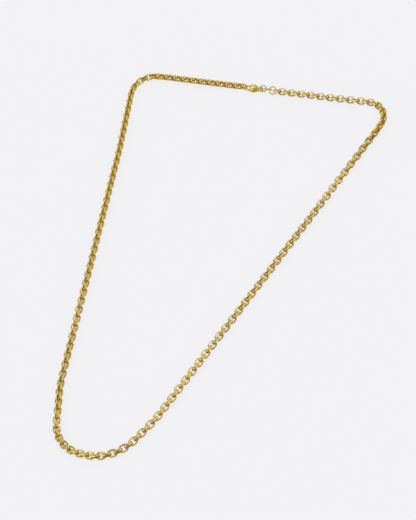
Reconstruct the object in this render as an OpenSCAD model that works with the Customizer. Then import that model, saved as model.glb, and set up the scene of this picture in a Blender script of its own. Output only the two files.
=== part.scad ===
// Square link chain necklace: links bent from a flat crowned band to a rounded square,
// closed by a lobster clasp on four jump rings. It lies on a table as a rounded triangle.
// Millimetres. The origin is on the table, under the middle of the whole necklace.

/* [Chain links] */
// Outside length of a link, along the chain
link_length = 4.12; // [4.11:0.01:4.14]
// Outside width of a link
link_width = 3.4; // [3.35:0.05:3.4]
// Width of the band that a link is bent from
band_width = 1.4; // [1.3:0.05:1.4]
// Thickness of the band
band_thickness = 0.6; // [0.56:0.01:0.6]
// Radius of a link's outer corners
corner_radius = 1.25; // [1.2:0.05:1.25]
// How far the band's edges lie below the crown of its outer face
crown = 0.25; // [0.2:0.05:0.25]

/* [Jump rings] */
// Wire of the jump rings
ring_wire = 0.65; // [0.6:0.01:0.65]
// Outside diameter of the two rings next to the chain's end
large_ring = 4.4; // [4.3:0.05:4.4]
// Outside diameter of the ring on the clasp's hook
hook_ring = 4.1; // [4.08:0.01:4.12]
// Outside diameter of the ring in the clasp's eye
small_ring = 3.9; // [3.9:0.02:3.94]

/* [Lobster clasp] */
// Thickness of the clasp's body
body_thickness = 2.6; // [2.5:0.05:2.6]
// Wire of the eye that the first ring goes through
eye_wire = 0.8; // [0.76:0.01:0.8]
// Thickness of the round hook
hook_wire = 0.94; // [0.92:0.01:0.95]
// Diameter of the lever's pin
pin_diameter = 0.7; // [0.66:0.02:0.7]
// Gap all round the pin in the lever
pin_play = 0.05; // [0.03:0.01:0.06]

/* [Hidden] */
$fn = 32;

// The chain's route on the table, seen from above and against the clock: the corners of
// a polygon, each rounded to a bend.
X = 0;
Y = 1;
BEND = 2;
route = [
  [-72.2, 112, 10],
  [-69.5, 97, 50],
  [-59.5, 60.5, 86],
  [-26, -80, 72],
  [-13.5, -111.5, 20],
  [16.5, -112, 20],
  [26.5, -88, 50],
  [65, 70.5, 94],
  [69.5, 89, 36],
  [72.8, 106.5, 12],
  [40, 107.5, 62],
  [-56.5, 112, 60],
];

function corner(i) = route[(i + len(route)) % len(route)];
function spot(i) = [corner(i)[X], corner(i)[Y]];
function bearing(i) =
  let (step = spot(i + 1) - spot(i))
  atan2(step[Y], step[X]);
function wrapped(angle) = angle > 180 ? angle - 360 : angle < -180 ? angle + 360 : angle;
function turn(i) = wrapped(bearing(i) - bearing(i - 1));
function ahead(angle) = [cos(angle), sin(angle)];
function left_of(angle) = [-sin(angle), cos(angle)];
function trim(i) = corner(i)[BEND] * tan(abs(turn(i)) / 2);
function bend_length(i) = corner(i)[BEND] * abs(turn(i)) * PI / 180;
function straight_length(i) = norm(spot(i) - spot(i - 1)) - trim(i) - trim(i - 1);

// A place on the route is [x, y, bearing]. Corner i ends a straight and begins a bend.
function on_straight(s, i) =
  let (way = bearing(i - 1), from = spot(i - 1) + trim(i - 1) * ahead(way))
  [each from + s * ahead(way), way];
function on_bend(s, i) =
  let (
    way = bearing(i - 1),
    side = sign(turn(i)),
    from = spot(i) - trim(i) * ahead(way),
    centre = from + side * corner(i)[BEND] * left_of(way),
    turned = way + side * s / corner(i)[BEND] * 180 / PI
  )
  [each centre - side * corner(i)[BEND] * left_of(turned), turned];
function place(s, i = 0) =
  s < straight_length(i) ? on_straight(s, i)
  : s < straight_length(i) + bend_length(i) ? on_bend(s - straight_length(i), i)
  : place(s - straight_length(i) - bend_length(i), i + 1);

// Number of a link, and its way along the chain from the first link.
link_count = 229;
lay = [
  [0, 0],
  [18, 46],
  [24, 61],
  [30, 76],
  [36, 91.6],
  [48, 123.4],
  [60, 154.1],
  [72, 185.7],
  [96, 248.2],
  [108, 278.5],
  [114, 292.9],
  [120, 308.3],
  [144, 370.4],
  [180, 464.5],
  [198, 512.4],
  [210, 542.6],
  [216, 559],
  [228, 590.8],
];
// Number of a link, and the roll of the chain there: 0 lays the odd links flat.
twist = [
  [0, -85],
  [18, -85],
  [24, -66],
  [30, -52],
  [36, -50],
  [72, -45],
  [84, -37],
  [90, -48],
  [102, -41],
  [108, -22],
  [110, -2],
  [114, 14],
  [120, 24],
  [144, 32],
  [156, 48],
  [180, 45],
  [188, 25],
  [196, 14],
  [209, -45],
  [228, -45],
];

// Middle of the necklace among the route's corners, and stations on the route
MIDDLE = [0.12, 0.12];
FIRST_LINK = 565.95;
CLASP_EYE = 554.2;

// Across the band: depth below the crown, and distance from the band's middle.
DEPTH = 0;
ASIDE = 1;
band = [
  [0, band_width * 0.2],
  [crown, band_width / 2],
  [band_thickness, band_width * 0.43],
];
function reach(roll) = max([
  for (p = band) (link_width / 2 - p[DEPTH]) * abs(sin(roll)) + p[ASIDE] * abs(cos(roll))
]);
function axis_height(roll) = max(reach(roll), reach(roll + 90));

module band_section() polygon([
  for (p = band) [corner_radius - p[DEPTH], p[ASIDE]],
  for (i = [len(band) - 1 : -1 : 0]) [corner_radius - band[i][DEPTH], -band[i][ASIDE]]
]);

module link() {
  half = [link_length / 2 - corner_radius, link_width / 2 - corner_radius];
  for (side = [0 : 3]) {
    out = half[side % 2];
    along = half[1 - side % 2];
    rotate(90 * side) {
      translate([out, 0, 0])
        rotate([90, 0, 0])
          linear_extrude(2 * along, center = true)
            band_section();
      translate([out, along, 0])
        rotate_extrude(angle = 90)
          band_section();
    }
  }
}

module at_station(s, height, roll = 0, left = 0) {
  here = place(s);
  translate([here[X] - MIDDLE[X], here[Y] - MIDDLE[Y], height])
    rotate([0, 0, here[2]])
      translate([0, left, 0])
        rotate([roll, 0, 0])
          children();
}

module links(first, last) {
  for (k = [first : last]) {
    roll = lookup(k, twist);
    at_station(FIRST_LINK + lookup(k, lay), axis_height(roll), roll + (k % 2 == 1 ? 0 : 90))
      link();
  }
}

module jump_ring(outside) {
  rotate_extrude()
    translate([(outside - ring_wire) / 2, 0])
      circle(d = ring_wire);
}

function ring_height(outside, roll) = (outside - ring_wire) / 2 * abs(sin(roll)) + ring_wire / 2;

// The clasp lies flat. From the middle of its eye, X runs to the hook and Z up.
hook_reach = 7.9;
hook_radius = 1.2;
pivot = [3.6, -1.1];

module on_clasp() {
  at_station(CLASP_EYE, body_thickness / 2)
    children();
}

module ball(x, y, radius) {
  translate([x, y, 0])
    sphere(radius);
}

// Room for the lever, in every position from shut to open
module lever_slot() {
  translate(pivot)
    cylinder(r = 1.05, h = 1.2, center = true);
  linear_extrude(1.2, center = true)
    polygon([[2.9, -3], [7.55, -3], [7.55, 0.8], [6.65, 0.58], [3.5, -0.45], [2.9, -1]]);
}

module chain_first_half() color("gold") links(0, 114);

module chain_second_half() color("goldenrod") links(115, link_count - 1);

module ring_by_chain() color("orange")
  at_station(547.15, ring_height(large_ring, 45), -45)
    jump_ring(large_ring);

module middle_ring() color("yellow")
  at_station(550, ring_height(large_ring, 45), 45, left = -0.34)
    jump_ring(large_ring);

module ring_by_clasp() color("darkorange")
  at_station(552.6, ring_height(small_ring, 65), -65, left = -0.42)
    jump_ring(small_ring);

module ring_on_hook() color("orangered")
  on_clasp()
    translate([9.42, 0, ring_height(hook_ring, 90) - body_thickness / 2])
      rotate([90, 0, 0])
        jump_ring(hook_ring);

module clasp_body() color("khaki")
  on_clasp() {
    rotate_extrude()
      translate([1.2, 0])
        circle(d = eye_wire);
    difference() {
      hull() {
        ball(1.95, 0, body_thickness / 2 - 0.1);
        ball(3.6, -0.95, body_thickness / 2);
        ball(3.6, 0.95, body_thickness / 2);
        ball(5.6, 1.2, 0.7);
      }
      lever_slot();
      translate(pivot)
        cylinder(d = pin_diameter, h = 4, center = true);
    }
    translate([5, hook_radius, 0])
      rotate([0, 90, 0])
        cylinder(d = hook_wire, h = hook_reach - 5);
    translate([hook_reach, 0, 0])
      rotate([0, 0, -90])
        rotate_extrude(angle = 180)
          translate([hook_radius, 0])
            circle(d = hook_wire);
    ball(hook_reach, -hook_radius, hook_wire / 2);
  }

module lever_plate(outline) {
  linear_extrude(1, center = true)
    polygon(outline);
}

module clasp_lever() color("chocolate")
  on_clasp()
    difference() {
      union() {
        translate(pivot)
          cylinder(r = 0.85, h = 1, center = true);
        lever_plate([[3.6, -1.9], [3.6, -0.7], [6.85, -0.82], [6.85, -1.58], [5, -1.75]]);
        translate([6.85, -1.2, 0])
          cylinder(r = 0.4, h = 1, center = true);
        lever_plate([[4.9, -1.5], [5.2, -2.55], [5.6, -2.9], [6, -2.6], [6.2, -1.5]]);
      }
      translate(pivot)
        cylinder(d = pin_diameter + 2 * pin_play, h = 2, center = true);
    }

module clasp_pin() color("white")
  on_clasp()
    translate(pivot)
      cylinder(d = pin_diameter, h = body_thickness - 0.2, center = true);

chain_first_half();
chain_second_half();
ring_on_hook();
ring_by_clasp();
middle_ring();
ring_by_chain();
clasp_body();
clasp_lever();
clasp_pin();
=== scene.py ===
"""Polished gold square link chain with its lobster clasp, dressed over the CAD frame."""

import logging
import math
from dataclasses import dataclass
from enum import Enum

import bmesh
import bpy
from mathutils import Matrix, Quaternion, Vector

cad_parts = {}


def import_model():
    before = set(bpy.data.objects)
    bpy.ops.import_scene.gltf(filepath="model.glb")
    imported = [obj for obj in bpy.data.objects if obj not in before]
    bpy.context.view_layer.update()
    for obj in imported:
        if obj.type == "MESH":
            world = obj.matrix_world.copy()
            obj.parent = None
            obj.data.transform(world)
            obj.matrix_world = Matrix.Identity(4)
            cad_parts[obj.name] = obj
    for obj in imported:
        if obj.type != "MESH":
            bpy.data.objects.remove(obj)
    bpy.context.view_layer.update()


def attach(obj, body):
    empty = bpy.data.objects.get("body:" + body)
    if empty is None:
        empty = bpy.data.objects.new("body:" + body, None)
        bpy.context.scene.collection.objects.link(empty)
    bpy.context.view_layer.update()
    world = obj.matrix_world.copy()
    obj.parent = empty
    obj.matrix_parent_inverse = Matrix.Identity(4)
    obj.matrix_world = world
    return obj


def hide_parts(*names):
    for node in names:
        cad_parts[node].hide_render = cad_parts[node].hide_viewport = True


MM = 0.001
WIRE_SIDES = 16
RING_STEPS = 48
HOOK_STEPS = 32
ROD_SIDES = 32
LEVEL = 0.01
LOG = logging.getLogger("square_link_chain")


class Body(Enum):
    """The rigid bodies that pieces ride on."""

    NECKLACE = "necklace"
    LEVER = "lever"


def new_object(name: str, mesh: bpy.types.Mesh) -> bpy.types.Object:
    """Puts a mesh into the scene.

    Args:
        name: the object's name.
        mesh: its mesh, in metres and in place.

    Returns:
        The new object, at the origin.
    """
    piece = bpy.data.objects.new(name, mesh)
    bpy.context.scene.collection.objects.link(piece)
    return piece


def finished_mesh(bm: bmesh.types.BMesh, name: str, sharp: float) -> bpy.types.Mesh:
    """Turns a bmesh that was built in millimetres into a smooth-shaded mesh in metres.

    Args:
        bm: the bmesh, which is freed.
        name: the mesh's name.
        sharp: angle in degrees above which an edge stays crisp.

    Returns:
        The mesh.
    """
    bmesh.ops.recalc_face_normals(bm, faces=bm.faces)
    bmesh.ops.scale(bm, vec=(MM, MM, MM), verts=bm.verts)
    mesh = bpy.data.meshes.new(name)
    bm.to_mesh(mesh)
    bm.free()
    mesh.shade_smooth()
    mesh.set_sharp_from_angle(angle=math.radians(sharp))
    return mesh


def applied(piece: bpy.types.Object, sharp: float) -> None:
    """Applies the piece's modifiers to its mesh.

    Args:
        piece: the object.
        sharp: angle in degrees above which an edge stays crisp.
    """
    graph = bpy.context.evaluated_depsgraph_get()
    mesh = bpy.data.meshes.new_from_object(piece.evaluated_get(graph))
    piece.modifiers.clear()
    piece.data = mesh
    mesh.shade_smooth()
    mesh.set_sharp_from_angle(angle=math.radians(sharp))


def raised(outline: tuple[tuple[float, float], ...], thickness: float) -> bmesh.types.BMesh:
    """Raises an outline to a flat plate, half of it below Z = 0 and half above.

    Args:
        outline: the corners of the outline in order.
        thickness: the plate's thickness.

    Returns:
        The plate.
    """
    bm = bmesh.new()
    lower = bm.faces.new([bm.verts.new((x, y, -thickness / 2)) for x, y in outline])
    lifted = bmesh.ops.extrude_face_region(bm, geom=[lower])["geom"]
    upper = [part for part in lifted if isinstance(part, bmesh.types.BMVert)]
    bmesh.ops.translate(bm, vec=(0, 0, thickness), verts=upper)
    return bm


def round_rims(bm: bmesh.types.BMesh, radius: float) -> None:
    """Rounds the edges of the flat ends of a plate or a rod.

    Args:
        bm: the plate or rod, which stands along Z.
        radius: the radius of the rounding.
    """
    rims = [edge for edge in bm.edges if abs(edge.verts[0].co.z - edge.verts[1].co.z) < LEVEL]
    bmesh.ops.bevel(
        bm,
        geom=rims,
        offset=radius,
        offset_type="OFFSET",
        segments=3,
        profile=0.5,
        affect="EDGES",
        material=-1,
    )


@dataclass(frozen=True)
class Corner:
    """A corner of the route on the table, in millimetres, rounded to a bend."""

    x: float
    y: float
    bend: float

    @property
    def spot(self) -> Vector:
        """The corner's point on the table."""
        return Vector((self.x, self.y))


@dataclass(frozen=True)
class Place:
    """A point on the route and the heading there, in radians."""

    x: float
    y: float
    heading: float


@dataclass(frozen=True)
class Route:
    """The chain's way round the loop, against the clock from above."""

    corners: tuple[Corner, ...] = (
        Corner(-72.2, 112, 10),
        Corner(-69.5, 97, 50),
        Corner(-59.5, 60.5, 86),
        Corner(-26, -80, 72),
        Corner(-13.5, -111.5, 20),
        Corner(16.5, -112, 20),
        Corner(26.5, -88, 50),
        Corner(65, 70.5, 94),
        Corner(69.5, 89, 36),
        Corner(72.8, 106.5, 12),
        Corner(40, 107.5, 62),
        Corner(-56.5, 112, 60),
    )
    middle: tuple[float, float] = (0.12, 0.12)

    def corner(self, index: int) -> Corner:
        """The corner of that number, counted round and round."""
        return self.corners[index % len(self.corners)]

    def heading(self, index: int) -> float:
        """Heading of the straight that leaves a corner, in radians."""
        way = self.corner(index + 1).spot - self.corner(index).spot
        return math.atan2(way.y, way.x)

    def turn(self, index: int) -> float:
        """Turn at a corner in radians, positive to the left."""
        change = self.heading(index) - self.heading(index - 1)
        return (change + math.pi) % math.tau - math.pi

    def trim(self, index: int) -> float:
        """Distance from a corner to where its bend begins."""
        return self.corner(index).bend * math.tan(abs(self.turn(index)) / 2)

    def place(self, station: float) -> Place:
        """Finds the place at a distance along the route.

        Args:
            station: millimetres from the end of the last corner's bend.

        Returns:
            The place, measured from under the middle of the necklace.
        """
        index = 0
        while True:
            corner = self.corner(index)
            heading = self.heading(index - 1)
            ahead = Vector((math.cos(heading), math.sin(heading)))
            gap = (corner.spot - self.corner(index - 1).spot).length
            straight = gap - self.trim(index) - self.trim(index - 1)
            start = corner.spot - ahead * (self.trim(index) + straight)
            if station < straight:
                return self._place(start + ahead * station, heading)
            station -= straight
            turn = self.turn(index)
            if station < corner.bend * abs(turn):
                side = math.copysign(1, turn)
                left = Vector((-ahead.y, ahead.x)) * side * corner.bend
                angle = side * station / corner.bend
                turned = Matrix.Rotation(angle, 2) @ left
                spot = corner.spot - ahead * self.trim(index) + left - turned
                return self._place(spot, heading + angle)
            station -= corner.bend * abs(turn)
            index += 1

    def _place(self, spot: Vector, heading: float) -> Place:
        """A place from a point among the corners."""
        return Place(spot.x - self.middle[0], spot.y - self.middle[1], heading)

    def frame(self, station: float, height: float, roll: float = 0, left: float = 0) -> Matrix:
        """Frame of a piece on the route: X ahead, Y left and Z up before it is rolled.

        Args:
            station: distance along the route.
            height: height of its middle over the table.
            roll: turn about the way ahead, in degrees.
            left: distance to the left of the route.

        Returns:
            The matrix, in millimetres.
        """
        place = self.place(station)
        return (
            Matrix.Translation((place.x, place.y, height))
            @ Matrix.Rotation(place.heading, 4, "Z")
            @ Matrix.Translation((0, left, 0))
            @ Matrix.Rotation(math.radians(roll), 4, "X")
        )


def between(rows: tuple[tuple[float, float], ...], key: float) -> float:
    """Reads a table of two columns, straight between its rows.

    Args:
        rows: the table, its keys rising.
        key: the key to look up, no lower than the first row's.

    Returns:
        The value at the key.
    """
    for (low, first), (high, last) in zip(rows, rows[1:]):
        if key <= high:
            return first + (last - first) * (key - low) / (high - low)
    return rows[-1][1]


@dataclass(frozen=True)
class PolishedGold:
    """Yellow gold with a machine polish and the fine haze of wear."""

    name: str
    colour: tuple[float, float, float] = (0.81, 0.59, 0.15)
    deep: tuple[float, float, float] = (0.76, 0.545, 0.12)
    roughness: float = 0.14
    haze: float = 0.1
    grain: float = 900.0
    fine_grain: float = 6.0
    bump: float = 0.06
    bump_height: float = 0.00002

    @staticmethod
    def haze_group() -> bpy.types.NodeTree:
        """Makes the node group for the polish, once.

        Returns:
            A group that varies the colour, roughness and height over a surface.
        """
        found = bpy.data.node_groups.get("polish_haze")
        if found:
            return found
        group = bpy.data.node_groups.new("polish_haze", "ShaderNodeTree")
        face = group.interface
        for name, kind in (
            ("Colour", "NodeSocketColor"),
            ("Deep", "NodeSocketColor"),
            ("Grain", "NodeSocketFloat"),
            ("Fine Grain", "NodeSocketFloat"),
            ("Roughness", "NodeSocketFloat"),
            ("Haze", "NodeSocketFloat"),
        ):
            face.new_socket(name, in_out="INPUT", socket_type=kind)
        for name, kind in (
            ("Colour", "NodeSocketColor"),
            ("Roughness", "NodeSocketFloat"),
            ("Height", "NodeSocketFloat"),
        ):
            face.new_socket(name, in_out="OUTPUT", socket_type=kind)
        nodes, link = group.nodes, group.links.new
        entry, leave = nodes.new("NodeGroupInput"), nodes.new("NodeGroupOutput")
        where = nodes.new("ShaderNodeTexCoord")
        broad, fine = nodes.new("ShaderNodeTexNoise"), nodes.new("ShaderNodeTexNoise")
        broad.inputs["Detail"].default_value = 3
        fine.inputs["Detail"].default_value = 5
        finer = nodes.new("ShaderNodeMath")
        finer.operation = "MULTIPLY"
        link(entry.outputs["Grain"], finer.inputs[0])
        link(entry.outputs["Fine Grain"], finer.inputs[1])
        for noise, scale in ((broad, entry.outputs["Grain"]), (fine, finer.outputs[0])):
            link(where.outputs["Object"], noise.inputs["Vector"])
            link(scale, noise.inputs["Scale"])
        tint = nodes.new("ShaderNodeMix")
        tint.data_type = "RGBA"
        link(broad.outputs["Fac"], tint.inputs["Factor"])
        link(entry.outputs["Deep"], tint.inputs["A"])
        link(entry.outputs["Colour"], tint.inputs["B"])
        link(tint.outputs["Result"], leave.inputs["Colour"])
        rough = nodes.new("ShaderNodeMath")
        rough.operation = "MULTIPLY_ADD"
        link(fine.outputs["Fac"], rough.inputs[0])
        link(entry.outputs["Haze"], rough.inputs[1])
        link(entry.outputs["Roughness"], rough.inputs[2])
        link(rough.outputs[0], leave.inputs["Roughness"])
        link(fine.outputs["Fac"], leave.inputs["Height"])
        return group

    def material(self) -> bpy.types.Material:
        """Makes the finish, once.

        Returns:
            The material.
        """
        found = bpy.data.materials.get(self.name)
        if found:
            return found
        made = bpy.data.materials.new(self.name)
        made.use_nodes = True
        nodes, link = made.node_tree.nodes, made.node_tree.links.new
        gold = nodes["Principled BSDF"]
        gold.inputs["Metallic"].default_value = 1
        haze = nodes.new("ShaderNodeGroup")
        haze.node_tree = self.haze_group()
        haze.inputs["Colour"].default_value = (*self.colour, 1)
        haze.inputs["Deep"].default_value = (*self.deep, 1)
        haze.inputs["Grain"].default_value = self.grain
        haze.inputs["Fine Grain"].default_value = self.fine_grain
        haze.inputs["Roughness"].default_value = self.roughness
        haze.inputs["Haze"].default_value = self.haze
        bump = nodes.new("ShaderNodeBump")
        bump.inputs["Strength"].default_value = self.bump
        bump.inputs["Distance"].default_value = self.bump_height
        link(haze.outputs["Height"], bump.inputs["Height"])
        link(haze.outputs["Colour"], gold.inputs["Base Color"])
        link(haze.outputs["Roughness"], gold.inputs["Roughness"])
        link(bump.outputs["Normal"], gold.inputs["Normal"])
        return made


LINK_GOLD = PolishedGold("link_gold")
CAST_GOLD = PolishedGold("cast_gold", roughness=0.18, haze=0.12, grain=500.0)


def dress(piece: bpy.types.Object, finish: PolishedGold, body: Body, node: str) -> None:
    """Gives a piece its finish and its place in the frame.

    Args:
        piece: the object.
        finish: its gold.
        body: the body that it rides on.
        node: the CAD node that it stands for.
    """
    piece.data.materials.clear()
    piece.data.materials.append(finish.material())
    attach(piece, body.value)
    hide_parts(node)
    LOG.info("%s: %d faces", piece.name, len(piece.data.polygons))


@dataclass
class LinkChain:
    """The chain of square links, each bent from a flat band with a crowned outer face."""

    route: Route
    length: float = 4.12
    width: float = 3.4
    band: float = 1.4
    thickness: float = 0.6
    corner_radius: float = 1.25
    crown: float = 0.25
    crown_share: float = 0.2
    inner_share: float = 0.43
    corner_steps: int = 3
    first_station: float = 565.95
    lay: tuple[tuple[float, float], ...] = (
        (0, 0),
        (18, 46),
        (24, 61),
        (30, 76),
        (36, 91.6),
        (48, 123.4),
        (60, 154.1),
        (72, 185.7),
        (96, 248.2),
        (108, 278.5),
        (114, 292.9),
        (120, 308.3),
        (144, 370.4),
        (180, 464.5),
        (198, 512.4),
        (210, 542.6),
        (216, 559),
        (228, 590.8),
    )
    twist: tuple[tuple[float, float], ...] = (
        (0, -85),
        (18, -85),
        (24, -66),
        (30, -52),
        (36, -50),
        (72, -45),
        (84, -37),
        (90, -48),
        (102, -41),
        (108, -22),
        (110, -2),
        (114, 14),
        (120, 24),
        (144, 32),
        (156, 48),
        (180, 45),
        (188, 25),
        (196, 14),
        (209, -45),
        (228, -45),
    )

    def section(self) -> list[tuple[float, float]]:
        """Half of the band's section: depth below the crown and distance from its middle."""
        return [
            (0, self.band * self.crown_share),
            (self.crown, self.band / 2),
            (self.thickness, self.band * self.inner_share),
        ]

    def axis_height(self, roll: float) -> float:
        """Finds how high the chain's axis lies where its links rest on the table.

        Args:
            roll: roll of the chain there, in degrees.

        Returns:
            The height at which the links and their neighbours clear the table.
        """
        sine, cosine = abs(math.sin(math.radians(roll))), abs(math.cos(math.radians(roll)))
        return max(
            (self.width / 2 - depth) * down + aside * over
            for depth, aside in self.section()
            for down, over in ((sine, cosine), (cosine, sine))
        )

    def link_mesh(self) -> bpy.types.Mesh:
        """Bends one link: four spun corners, bridged by the straight walls.

        Returns:
            The link's mesh in millimetres, its opening along Z.
        """
        bm = bmesh.new()
        across, along = self.width / 2 - self.corner_radius, self.length / 2 - self.corner_radius
        half = self.section()
        outline = half + [(depth, -aside) for depth, aside in reversed(half)]
        ends = []
        for quarter in range(4):
            turned = Matrix.Rotation(quarter * math.pi / 2, 4, "Z")
            sign_x = 1 if quarter in (0, 3) else -1
            sign_y = 1 if quarter in (0, 1) else -1
            centre = Vector((sign_x * along, sign_y * across, 0))
            ring = [
                bm.verts.new(centre + turned @ Vector((self.corner_radius - depth, 0, aside)))
                for depth, aside in outline
            ]
            first = [bm.edges.new(pair) for pair in zip(ring, ring[1:] + ring[:1])]
            swept = bmesh.ops.spin(
                bm,
                geom=ring + first,
                cent=centre,
                axis=(0, 0, 1),
                angle=math.pi / 2,
                steps=self.corner_steps,
            )
            last = [part for part in swept["geom_last"] if isinstance(part, bmesh.types.BMEdge)]
            ends.append((first, last))
        for quarter in range(4):
            edges = ends[quarter][1] + ends[(quarter + 1) % 4][0]
            bmesh.ops.bridge_loops(bm, edges=edges)
        bmesh.ops.recalc_face_normals(bm, faces=bm.faces)
        mesh = bpy.data.meshes.new("one_link")
        bm.to_mesh(mesh)
        bm.free()
        return mesh

    def build(self, name: str, node: str, first: int, last: int) -> bpy.types.Object:
        """Lays a run of links along the route.

        Args:
            name: the piece's name.
            node: the CAD node that it stands for.
            first: number of its first link.
            last: number of its last link.

        Returns:
            The run of links as one object.
        """
        one_link = self.link_mesh()
        bm = bmesh.new()
        for number in range(first, last + 1):
            roll = between(self.twist, number)
            station = self.first_station + between(self.lay, number)
            stood = roll if number % 2 else roll + 90
            frame = self.route.frame(station, self.axis_height(roll), stood)
            laid = len(bm.verts)
            bm.from_mesh(one_link)
            bm.verts.ensure_lookup_table()
            bmesh.ops.transform(bm, matrix=frame, verts=bm.verts[laid:])
        piece = new_object(name, finished_mesh(bm, name, sharp=45))
        bpy.data.meshes.remove(one_link)
        dress(piece, LINK_GOLD, Body.NECKLACE, node)
        return piece


def spin_wire(
    bm: bmesh.types.BMesh, radius: float, wire: float, angle: float, steps: int
) -> list[bmesh.types.BMVert]:
    """Spins a round wire about Z, from the X axis on.

    Args:
        bm: the bmesh to add to.
        radius: radius of the wire's middle line.
        wire: radius of the wire.
        angle: how far it goes round, in radians.
        steps: steps of the spin.

    Returns:
        The new vertices.
    """
    known = set(bm.verts)
    upright = Matrix.Translation((radius, 0, 0)) @ Matrix.Rotation(math.pi / 2, 4, "X")
    circle = bmesh.ops.create_circle(bm, segments=WIRE_SIDES, radius=wire, matrix=upright)["verts"]
    edges = list(dict.fromkeys(edge for vert in circle for edge in vert.link_edges))
    closed = math.isclose(angle, math.tau)
    bmesh.ops.spin(
        bm,
        geom=circle + edges,
        cent=(0, 0, 0),
        axis=(0, 0, 1),
        angle=angle,
        steps=steps,
        use_merge=closed,
    )
    return [vert for vert in bm.verts if vert not in known]


@dataclass
class LobsterClasp:
    """The clasp: a cast body with eye and hook, its thumb lever and the lever's pin.

    Wires are given by radius. The body is a hull of balls, each with its place and radius.
    """

    route: Route
    eye_station: float = 554.2
    thickness: float = 2.6
    eye_radius: float = 1.2
    eye_wire: float = 0.4
    hook_radius: float = 1.2
    hook_wire: float = 0.47
    hook_reach: float = 7.9
    pivot: tuple[float, float] = (3.6, -1.1)
    pin_radius: float = 0.35
    pin_below: float = 0.1
    pin_dome: float = 0.1
    arm_start: float = 5
    arm_taper: float = 0.08
    slot: float = 1.2
    plate: float = 1
    plate_edge: float = 0.14
    voxel: float = 0.055
    fillet_ease: float = 0.5
    fillet_passes: int = 5
    balls: tuple[tuple[float, float, float], ...] = (
        (1.95, 0, 1.2),
        (3.6, -0.95, 1.3),
        (3.6, 0.95, 1.3),
        (5.6, 1.2, 0.7),
    )
    lever_outline: tuple[tuple[float, float], ...] = (
        (3.2, -0.45),
        (4.2, -0.72),
        (6.85, -0.8),
        (7.17, -0.95),
        (7.25, -1.2),
        (7.17, -1.45),
        (6.85, -1.6),
        (6.1, -1.68),
        (5.92, -2.5),
        (5.6, -2.86),
        (5.25, -2.5),
        (4.95, -1.72),
        (3.7, -1.92),
        (3.05, -1.72),
        (2.76, -1.1),
        (2.9, -0.65),
    )
    slot_outline: tuple[tuple[float, float], ...] = (
        (2.55, -1.1),
        (2.7, -3),
        (7.55, -3),
        (7.55, 0.8),
        (6.65, 0.58),
        (3.5, -0.05),
        (2.85, -0.4),
    )

    @property
    def frame(self) -> Matrix:
        """The clasp's frame: from the middle of its eye, X runs to the hook and Z up."""
        return self.route.frame(self.eye_station, self.thickness / 2)

    @staticmethod
    def _add_ball(
        bm: bmesh.types.BMesh, x: float, y: float, radius: float, sides: int = RING_STEPS
    ) -> None:
        """Adds a ball at half the clasp's thickness."""
        place = Matrix.Translation((x, y, 0))
        bmesh.ops.create_uvsphere(
            bm, u_segments=sides, v_segments=sides // 2, radius=radius, matrix=place
        )

    def _add_hook(self, bm: bmesh.types.BMesh) -> None:
        """Adds the hook: its arm, its half round and the ball at its tip.

        Args:
            bm: the casting so far.
        """
        bend = spin_wire(bm, self.hook_radius, self.hook_wire, math.pi, HOOK_STEPS)
        front = Matrix.Translation((self.hook_reach, 0, 0))
        quarter_back = Matrix.Rotation(-math.pi / 2, 4, "Z")
        bmesh.ops.transform(bm, matrix=front @ quarter_back, verts=bend)
        self._add_ball(bm, self.hook_reach, -self.hook_radius, self.hook_wire, ROD_SIDES)
        length = self.hook_reach - self.arm_start
        middle = Matrix.Translation((self.hook_reach - length / 2, self.hook_radius, 0))
        bmesh.ops.create_cone(
            bm,
            cap_ends=True,
            segments=ROD_SIDES,
            radius1=self.hook_wire + self.arm_taper,
            radius2=self.hook_wire,
            depth=length,
            matrix=middle @ Matrix.Rotation(math.pi / 2, 4, "Y"),
        )

    def _casting(self) -> bpy.types.Object:
        """Casts body, eye and hook in one, with soft fillets where they meet.

        Returns:
            The casting, still without its slot and hole.
        """
        bm = bmesh.new()
        for x, y, radius in self.balls:
            self._add_ball(bm, x, y, radius)
        hull = bmesh.ops.convex_hull(bm, input=bm.verts)
        inner = dict.fromkeys(hull["geom_interior"] + hull["geom_unused"])
        spare = [part for part in inner if isinstance(part, bmesh.types.BMVert)]
        bmesh.ops.delete(bm, geom=spare)
        spin_wire(bm, self.eye_radius, self.eye_wire, math.tau, RING_STEPS)
        self._add_hook(bm)
        bmesh.ops.holes_fill(bm, edges=bm.edges)
        piece = new_object("clasp_casting", finished_mesh(bm, "clasp_casting", sharp=60))
        remesh = piece.modifiers.new("skin", "REMESH")
        remesh.mode = "VOXEL"
        remesh.voxel_size = self.voxel * MM
        ease = piece.modifiers.new("fillets", "SMOOTH")
        ease.factor = self.fillet_ease
        ease.iterations = self.fillet_passes
        applied(piece, sharp=60)
        return piece

    def _rod(self, length: float) -> bmesh.types.BMesh:
        """Makes a round rod of the pin's radius on the lever's pivot.

        Args:
            length: the rod's length.

        Returns:
            The rod.
        """
        bm = bmesh.new()
        bmesh.ops.create_cone(
            bm,
            cap_ends=True,
            segments=ROD_SIDES,
            radius1=self.pin_radius,
            radius2=self.pin_radius,
            depth=length,
            matrix=Matrix.Translation((*self.pivot, 0)),
        )
        return bm

    def _cutters(self) -> tuple[bpy.types.Object, bpy.types.Object]:
        """Makes the cutters for the lever's slot and for the pin's hole."""
        slot, hole = raised(self.slot_outline, self.slot), self._rod(self.thickness + 1)
        return (
            new_object("slot_cutter", finished_mesh(slot, "slot_cutter", sharp=30)),
            new_object("pin_cutter", finished_mesh(hole, "pin_cutter", sharp=30)),
        )

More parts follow.
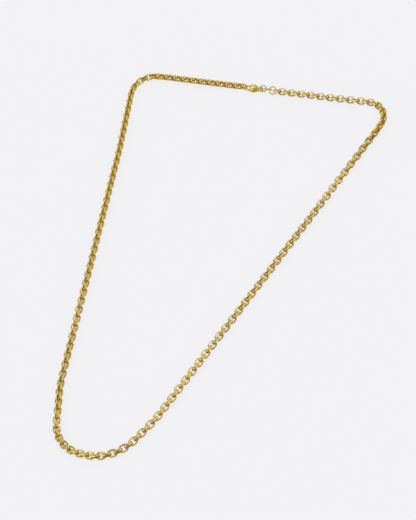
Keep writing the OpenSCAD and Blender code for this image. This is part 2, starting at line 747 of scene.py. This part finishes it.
    def build_body(self) -> bpy.types.Object:
        """Builds the cast body and cuts the lever's slot and the pin's hole through it.

        Returns:
            The body.
        """
        piece = self._casting()
        for cutter in self._cutters():
            cut = piece.modifiers.new("cut", "BOOLEAN")
            cut.operation = "DIFFERENCE"
            cut.solver = "EXACT"
            cut.object = cutter
            applied(piece, sharp=40)
            bpy.data.objects.remove(cutter)
        self._set_in_place(piece)
        dress(piece, CAST_GOLD, Body.NECKLACE, "clasp_body")
        return piece

    def build_lever(self) -> bpy.types.Object:
        """Builds the thumb lever with rounded edges.

        Returns:
            The lever.
        """
        bm = raised(self.lever_outline, self.plate)
        round_rims(bm, self.plate_edge)
        piece = new_object("clasp_thumb_lever", finished_mesh(bm, "clasp_thumb_lever", sharp=50))
        self._set_in_place(piece)
        dress(piece, CAST_GOLD, Body.LEVER, "clasp_lever")
        return piece

    def build_pin(self) -> bpy.types.Object:
        """Builds the pin with softly domed ends.

        Returns:
            The pin.
        """
        bm = self._rod(self.thickness - 2 * self.pin_below)
        round_rims(bm, self.pin_dome)
        piece = new_object("clasp_rivet", finished_mesh(bm, "clasp_rivet", sharp=60))
        self._set_in_place(piece)
        dress(piece, CAST_GOLD, Body.NECKLACE, "clasp_pin")
        return piece

    def _set_in_place(self, piece: bpy.types.Object) -> None:
        """Moves a mesh that was made in the clasp's frame to its place on the route.

        Args:
            piece: the object with the mesh.
        """
        frame = self.frame
        frame.translation *= MM
        piece.data.transform(frame)


@dataclass
class JumpRings:
    """The four jump rings between the chain's ends and the clasp.

    A leaning ring's place is its station on the route, its roll in degrees and its distance to
    the left of the route.
    """

    route: Route
    clasp: LobsterClasp
    wire: float = 0.65
    large: float = 4.4
    hooked: float = 4.1
    small: float = 3.9
    hooked_reach: float = 9.42
    by_chain: tuple[float, float, float] = (547.15, -45, 0)
    middle: tuple[float, float, float] = (550, 45, -0.34)
    by_clasp: tuple[float, float, float] = (552.6, -65, -0.42)

    def height(self, outside: float, roll: float) -> float:
        """Height of the middle of a ring that rests on the table, rolled by degrees."""
        return (outside - self.wire) / 2 * abs(math.sin(math.radians(roll))) + self.wire / 2

    def leaning(self, outside: float, place: tuple[float, float, float]) -> Matrix:
        """Frame of a ring that leans over the route and rests on the table."""
        station, roll, left = place
        return self.route.frame(station, self.height(outside, roll), roll, left)

    def hanging(self) -> Matrix:
        """Finds the frame of the ring in the clasp's hook, which stands square to the clasp.

        Returns:
            The frame, in millimetres.
        """
        lift = self.height(self.hooked, 90) - self.clasp.thickness / 2
        place = Matrix.Translation((self.hooked_reach, 0, lift))
        return self.clasp.frame @ place @ Matrix.Rotation(math.radians(90), 4, "X")

    def build_ring(self, node: str, outside: float, frame: Matrix) -> bpy.types.Object:
        """Spins one ring's wire round.

        Args:
            node: the CAD node that the ring stands for.
            outside: its outside diameter.
            frame: its frame, in millimetres.

        Returns:
            The ring.
        """
        bm = bmesh.new()
        spin_wire(bm, (outside - self.wire) / 2, self.wire / 2, math.tau, RING_STEPS)
        bmesh.ops.transform(bm, matrix=frame, verts=bm.verts)
        piece = new_object(f"{node}_wire", finished_mesh(bm, node, sharp=60))
        dress(piece, LINK_GOLD, Body.NECKLACE, node)
        return piece

    def build(self) -> None:
        """Builds the four rings."""
        self.build_ring("ring_on_hook", self.hooked, self.hanging())
        for node, outside, place in (
            ("ring_by_chain", self.large, self.by_chain),
            ("middle_ring", self.large, self.middle),
            ("ring_by_clasp", self.small, self.by_clasp),
        ):
            self.build_ring(node, outside, self.leaning(outside, place))


@dataclass(frozen=True)
class SoftPanel:
    """A soft patch of light on the studio's walls or ceiling.

    Its angles are in degrees, azimuth from X towards Y and spread from its middle to where it
    fades out. Its core is the share of the spread that is evenly bright.
    """

    azimuth: float
    elevation: float
    spread: float
    strength: float
    core: float = 0.2

    @property
    def toward(self) -> Vector:
        """The direction in which the panel is seen from the necklace.

        Returns:
            A vector of length one.
        """
        azimuth, elevation = math.radians(self.azimuth), math.radians(self.elevation)
        flat = math.cos(elevation)
        return Vector((math.cos(azimuth) * flat, math.sin(azimuth) * flat, math.sin(elevation)))


PANELS = (
    SoftPanel(139, 8, 36, 1.2),
    SoftPanel(121, 62, 28, 0.7),
    SoftPanel(43, 8, 34, 0.48),
    SoftPanel(-132, 18, 40, 0.9),
    SoftPanel(2, 34, 36, 0.85),
    SoftPanel(70, 25, 34, 0.42),
    SoftPanel(-114, 36, 30, 0.6),
)


@dataclass
class Studio:
    """The pale table, the soft panels round it and the camera.

    Angles are in degrees and lengths in metres, but for the camera's lens and sensor. The
    camera's azimuth turns from -Y towards X.
    """

    look_at: tuple[float, float, float] = (0.01561, -0.00057, 0.0016)
    distance: float = 0.7323
    azimuth: float = 39.79
    elevation: float = 46.75
    roll: float = -23.28
    lens: float = 109.52
    sensor: float = 36
    nearest: float = 0.01
    table_half: float = 3.0
    table_glow: tuple[float, float, float] = (0.778, 0.778, 0.795)
    table_mirrored: tuple[float, float, float] = (0.34, 0.34, 0.34)
    table_paint: tuple[float, float, float] = (0.15, 0.15, 0.15)
    table_roughness: float = 0.9
    dim: float = 0.38

    def build_table(self) -> None:
        """Lays the pale table, which takes faint shadows and is dim where the gold mirrors it."""
        bm = bmesh.new()
        bmesh.ops.create_grid(bm, x_segments=1, y_segments=1, size=self.table_half)
        mesh = bpy.data.meshes.new("table_top")
        bm.to_mesh(mesh)
        bm.free()
        table = new_object("table_top", mesh)
        paint = bpy.data.materials.new("pale_table")
        paint.use_nodes = True
        nodes, link = paint.node_tree.nodes, paint.node_tree.links.new
        matt = nodes["Principled BSDF"]
        matt.inputs["Base Color"].default_value = (*self.table_paint, 1)
        matt.inputs["Roughness"].default_value = self.table_roughness
        matt.inputs["Specular IOR Level"].default_value = 0
        matt.inputs["Emission Strength"].default_value = 1
        path = nodes.new("ShaderNodeLightPath")
        glow = nodes.new("ShaderNodeMix")
        glow.data_type = "RGBA"
        glow.inputs["A"].default_value = (*self.table_mirrored, 1)
        glow.inputs["B"].default_value = (*self.table_glow, 1)
        link(path.outputs["Is Camera Ray"], glow.inputs["Factor"])
        link(glow.outputs["Result"], matt.inputs["Emission Color"])
        mesh.materials.append(paint)

    def build_air(self) -> None:
        """Lights the dim room round the table with the soft panels."""
        world = bpy.data.worlds.new("studio_air")
        world.use_nodes = True
        nodes, link = world.node_tree.nodes, world.node_tree.links.new
        air = nodes["Background"]
        air.inputs["Color"].default_value = (1, 1, 1, 1)
        where = nodes.new("ShaderNodeTexCoord")
        total = None
        for panel in PANELS:
            facing = nodes.new("ShaderNodeVectorMath")
            facing.operation = "DOT_PRODUCT"
            facing.inputs[1].default_value = panel.toward
            link(where.outputs["Generated"], facing.inputs[0])
            glow = nodes.new("ShaderNodeMapRange")
            glow.interpolation_type = "SMOOTHSTEP"
            spread = math.radians(panel.spread)
            glow.inputs["From Min"].default_value = math.cos(spread)
            glow.inputs["From Max"].default_value = math.cos(spread * panel.core)
            glow.inputs["To Max"].default_value = panel.strength
            link(facing.outputs["Value"], glow.inputs["Value"])
            more = nodes.new("ShaderNodeMath")
            more.inputs[0].default_value = self.dim
            if total:
                link(total, more.inputs[0])
            link(glow.outputs["Result"], more.inputs[1])
            total = more.outputs[0]
        link(total, air.inputs["Strength"])
        bpy.context.scene.world = world

    def build_camera(self) -> None:
        """Sets the camera at the photograph's angle."""
        lens = bpy.data.cameras.new("camera")
        lens.sensor_width = self.sensor
        lens.lens = self.lens
        lens.clip_start = self.nearest
        camera = bpy.data.objects.new("camera", lens)
        bpy.context.scene.collection.objects.link(camera)
        azimuth, elevation = math.radians(self.azimuth), math.radians(self.elevation)
        back = Vector(
            (
                math.sin(azimuth) * math.cos(elevation),
                -math.cos(azimuth) * math.cos(elevation),
                math.sin(elevation),
            )
        )
        camera.location = Vector(self.look_at) + back * self.distance
        camera.rotation_mode = "QUATERNION"
        upright = (-back).to_track_quat("-Z", "Y")
        camera.rotation_quaternion = upright @ Quaternion((0, 0, 1), math.radians(self.roll))
        bpy.context.scene.camera = camera


def main() -> None:
    """Builds the necklace over the frame, then the studio round it."""
    logging.basicConfig(level=logging.INFO, format="%(message)s")
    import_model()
    bpy.context.scene.view_settings.view_transform = "Standard"
    route = Route()
    chain = LinkChain(route)
    chain.build("links_first_half", "chain_first_half", 0, 114)
    chain.build("links_second_half", "chain_second_half", 115, 228)
    clasp = LobsterClasp(route)
    JumpRings(route, clasp).build()
    clasp.build_body()
    clasp.build_lever()
    clasp.build_pin()
    studio = Studio()
    studio.build_table()
    studio.build_air()
    studio.build_camera()


if __name__ == "__main__":
    main()
